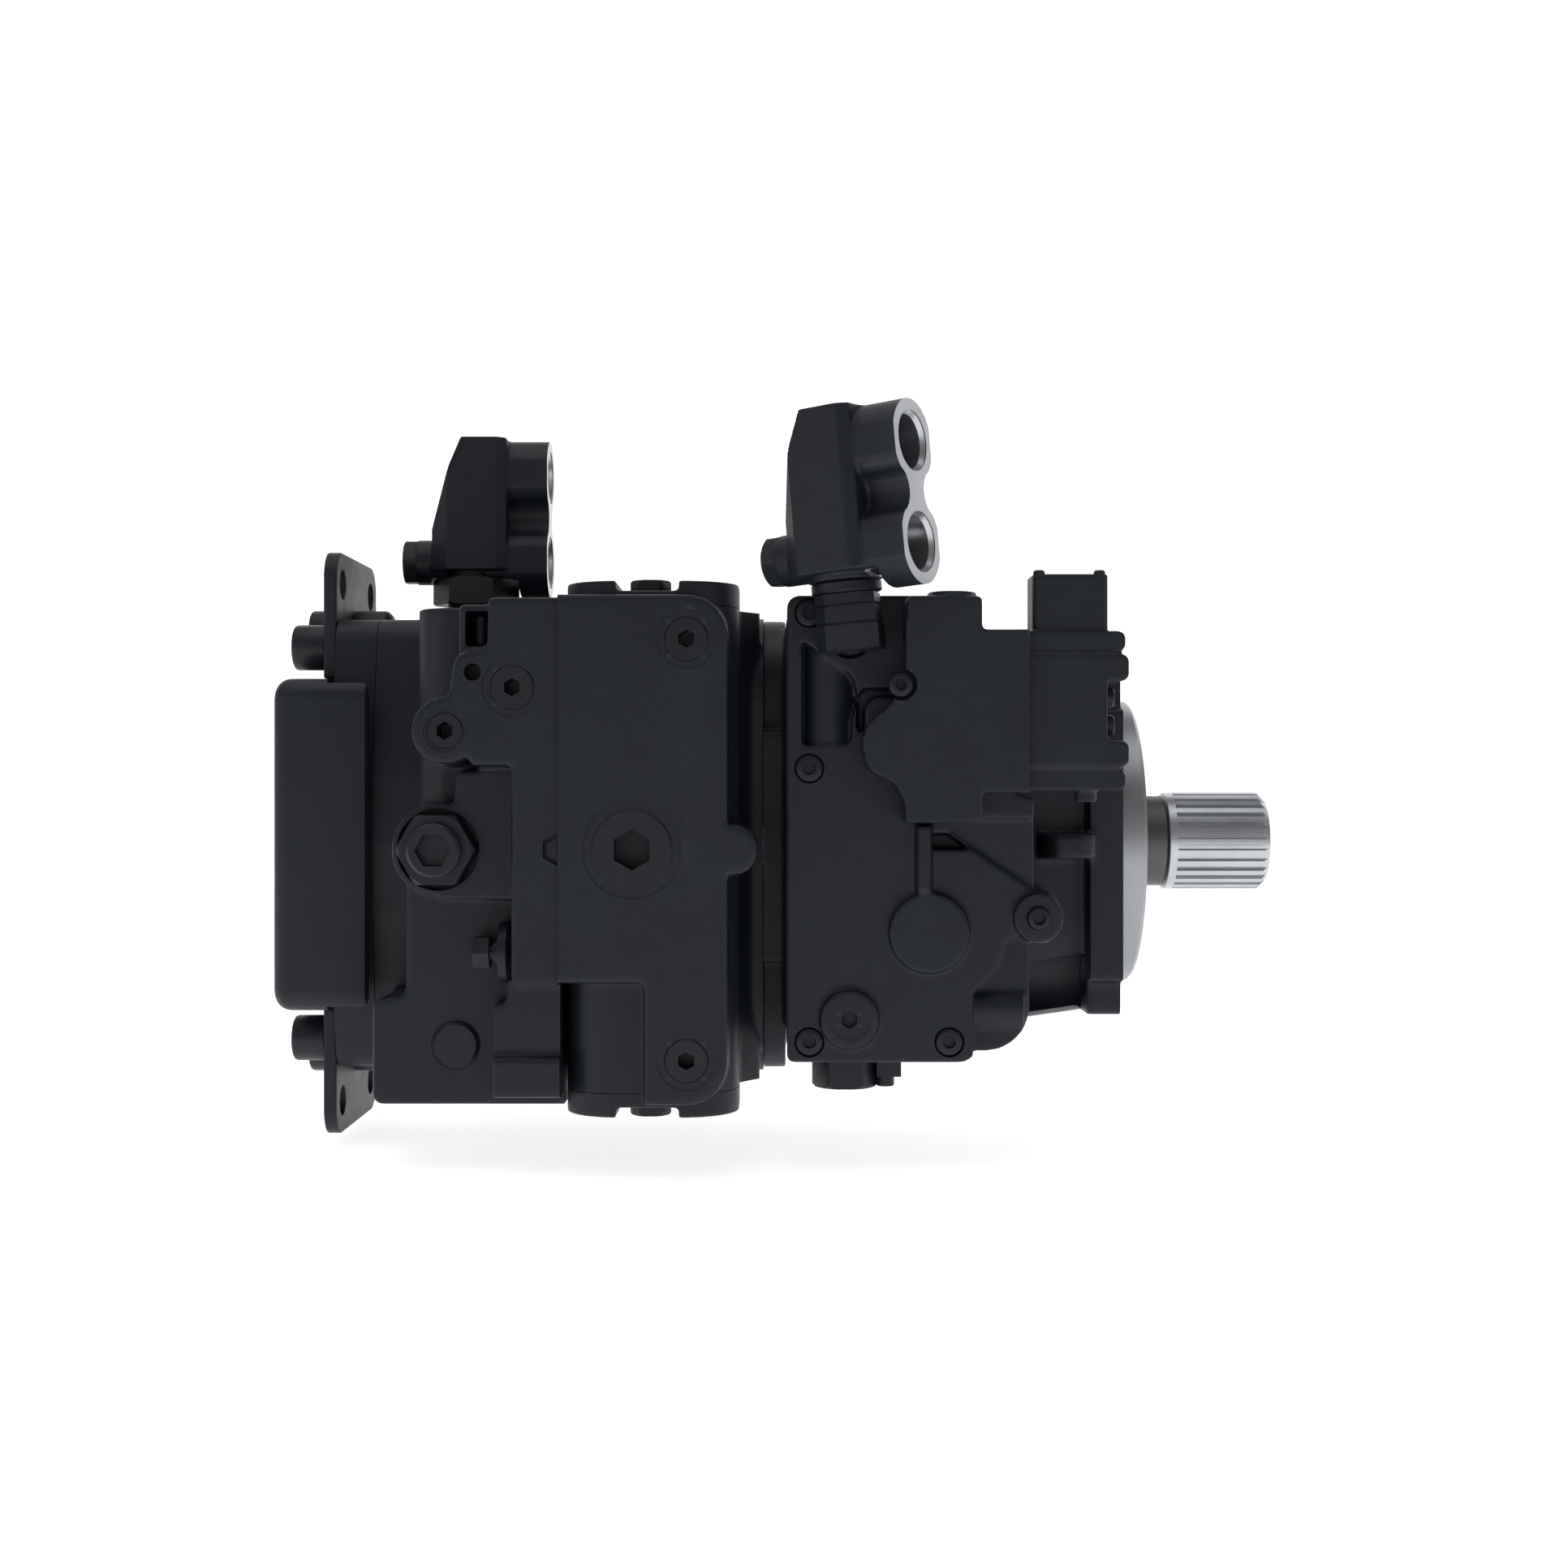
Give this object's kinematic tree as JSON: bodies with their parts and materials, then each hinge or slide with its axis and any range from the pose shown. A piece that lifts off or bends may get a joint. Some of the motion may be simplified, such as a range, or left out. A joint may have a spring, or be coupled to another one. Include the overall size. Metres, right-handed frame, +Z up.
{
  "type": "axial piston pump",
  "caption": "Variable swashplate axial piston pump for a closed circuit, with splined shaft, flange and pilot, charge pump, electric displacement control and swivelling twin-port blocks.",
  "frame": {"origin": "where the shaft axis meets the front face of the mounting flange", "axes": "+X along the shaft towards its driven end, +Z up, -Y towards the control side"},
  "size_m": [0.436, 0.2666, 0.3124],
  "materials": {
    "black_paint": "satin black paint over cast iron, with machined faces left bare where they seal",
    "black_steel": "black coated steel",
    "bright_steel": "bare machined steel",
    "bronze": "bronze bearing metal",
    "black_rubber": "matt",
    "black_plastic": "moulded satin black"
  },
  "bodies": {
    "housing": {"front_housing": "black_paint", "main_housing": "black_paint", "end_cap": "black_paint", "charge_pump_housing": "black_paint", "rear_cover": "black_paint", "lifting_bracket_upper": "black_paint", "lifting_bracket_lower": "black_paint", "bracket_screw_1": "black_steel", "bracket_screw_2": "black_steel", "bracket_screw_3": "black_steel", "bracket_screw_4": "black_steel", "bracket_screw_5": "black_steel", "bracket_screw_6": "black_steel", "servo_cap_upper": "black_paint", "servo_cap_lower": "black_paint", "limiter_screw_upper": "black_steel", "limiter_screw_lower": "black_steel", "main_plug": "black_steel", "relief_cartridge": "black_steel", "control_cover": "black_paint", "control_housing": "black_paint", "solenoid_block": "black_plastic", "cover_screw_1": "black_steel", "cover_screw_2": "black_steel", "cover_screw_3": "black_steel", "cover_screw_4": "black_steel", "cover_screw_5": "black_steel", "rear_fitting": "black_steel", "front_fitting": "black_steel", "drain_plug": "black_steel", "seal_carrier": "bright_steel", "shaft_seal": "black_rubber", "front_bearing_outer": "bright_steel", "rear_bearing_outer": "bright_steel", "valve_plate": "bronze", "cradle_bearing_near": "bronze", "cradle_bearing_far": "bronze"},
    "rotor": {"drive_shaft": "bright_steel", "cylinder_block": "bright_steel", "front_bearing_inner": "bright_steel", "charge_rotor_inner": "bright_steel"},
    "charge_ring": {"charge_rotor_ring": "bright_steel"},
    "swashplate_body": {"swashplate": "bright_steel"},
    "slippers": {"slipper_set": "bronze"},
    "servo": {"servo_piston": "bright_steel"},
    "spool": {"control_spool": "bright_steel"},
    "button_upper": {"override_button_upper": "black_plastic"},
    "button_lower": {"override_button_lower": "black_plastic"},
    "front_block": {"front_port_block": "black_paint"},
    "rear_block": {"rear_port_block": "black_paint"},
    "piston_1_body": {"piston_1": "bright_steel"},
    "piston_2_body": {"piston_2": "bright_steel"},
    "piston_3_body": {"piston_3": "bright_steel"},
    "piston_4_body": {"piston_4": "bright_steel"},
    "piston_5_body": {"piston_5": "bright_steel"},
    "piston_6_body": {"piston_6": "bright_steel"},
    "piston_7_body": {"piston_7": "bright_steel"},
    "piston_8_body": {"piston_8": "bright_steel"},
    "piston_9_body": {"piston_9": "bright_steel"}
  },
  "joints": [
    {"name": "shaft_spin", "type": "hinge", "parent": "housing", "child": "rotor", "pos_m": [-0.1, 0, 0], "axis": [1, 0, 0], "continuous": true},
    {"name": "charge_ring_spin", "type": "hinge", "parent": "housing", "child": "charge_ring", "pos_m": [-0.327, 0, -0.0022], "axis": [1, 0, 0], "continuous": true},
    {"name": "swash_tilt", "type": "hinge", "parent": "housing", "child": "swashplate_body", "pos_m": [-0.13, 0, 0], "axis": [0, 1, 0], "range_deg": [-17, 17], "stiffness_Nm_per_rad": 80},
    {"name": "slipper_spin", "type": "hinge", "parent": "swashplate_body", "child": "slippers", "pos_m": [-0.13, 0, 0], "axis": [1, 0, 0], "continuous": true},
    {"name": "servo_slide", "type": "slide", "parent": "housing", "child": "servo", "axis": [0, 0, 1], "range_m": [-0.0198, 0.0198], "stiffness_N_per_m": 30000},
    {"name": "spool_slide", "type": "slide", "parent": "housing", "child": "spool", "axis": [0, 0, 1], "range_m": [-0.004, 0.004], "stiffness_N_per_m": 3000},
    {"name": "override_upper_push", "type": "slide", "parent": "housing", "child": "button_upper", "axis": [-1, 0, 0], "range_m": [0, 0.002], "stiffness_N_per_m": 800},
    {"name": "override_lower_push", "type": "slide", "parent": "housing", "child": "button_lower", "axis": [-1, 0, 0], "range_m": [0, 0.002], "stiffness_N_per_m": 800},
    {"name": "front_block_swivel", "type": "hinge", "parent": "housing", "child": "front_block", "pos_m": [-0.1167, -0.132, 0.084], "axis": [-0.0872, 0, 0.9962], "range_deg": [-60, 60]},
    {"name": "rear_block_swivel", "type": "hinge", "parent": "housing", "child": "rear_block", "pos_m": [-0.286, 0.015, 0.12], "axis": [0, 0, 1], "range_deg": [-90, 90]},
    {"name": "piston_1_stroke", "type": "slide", "parent": "rotor", "child": "piston_1_body", "axis": [1, 0, 0], "range_m": [-0.0129, 0.0129]},
    {"name": "piston_2_stroke", "type": "slide", "parent": "rotor", "child": "piston_2_body", "axis": [1, 0, 0], "range_m": [-0.0129, 0.0129]},
    {"name": "piston_3_stroke", "type": "slide", "parent": "rotor", "child": "piston_3_body", "axis": [1, 0, 0], "range_m": [-0.0129, 0.0129]},
    {"name": "piston_4_stroke", "type": "slide", "parent": "rotor", "child": "piston_4_body", "axis": [1, 0, 0], "range_m": [-0.0129, 0.0129]},
    {"name": "piston_5_stroke", "type": "slide", "parent": "rotor", "child": "piston_5_body", "axis": [1, 0, 0], "range_m": [-0.0129, 0.0129]},
    {"name": "piston_6_stroke", "type": "slide", "parent": "rotor", "child": "piston_6_body", "axis": [1, 0, 0], "range_m": [-0.0129, 0.0129]},
    {"name": "piston_7_stroke", "type": "slide", "parent": "rotor", "child": "piston_7_body", "axis": [1, 0, 0], "range_m": [-0.0129, 0.0129]},
    {"name": "piston_8_stroke", "type": "slide", "parent": "rotor", "child": "piston_8_body", "axis": [1, 0, 0], "range_m": [-0.0129, 0.0129]},
    {"name": "piston_9_stroke", "type": "slide", "parent": "rotor", "child": "piston_9_body", "axis": [1, 0, 0], "range_m": [-0.0129, 0.0129]}
  ],
  "couplings": [
    {"joint": "charge_ring_spin", "follows": "shaft_spin", "ratio": 0.85714},
    {"joint": "slipper_spin", "follows": "shaft_spin", "ratio": 1},
    {"joint": "servo_slide", "follows": "swash_tilt", "m_per_rad": 0.0666},
    {"joint": "piston_1_stroke", "follows": "swash_tilt", "m_per_rad": 0.042},
    {"joint": "piston_2_stroke", "follows": "swash_tilt", "m_per_rad": 0.032174},
    {"joint": "piston_3_stroke", "follows": "swash_tilt", "m_per_rad": 0.007293},
    {"joint": "piston_4_stroke", "follows": "swash_tilt", "m_per_rad": -0.021},
    {"joint": "piston_5_stroke", "follows": "swash_tilt", "m_per_rad": -0.039467},
    {"joint": "piston_6_stroke", "follows": "swash_tilt", "m_per_rad": -0.039467},
    {"joint": "piston_7_stroke", "follows": "swash_tilt", "m_per_rad": -0.021},
    {"joint": "piston_8_stroke", "follows": "swash_tilt", "m_per_rad": 0.007293},
    {"joint": "piston_9_stroke", "follows": "swash_tilt", "m_per_rad": 0.032174}
  ]
}
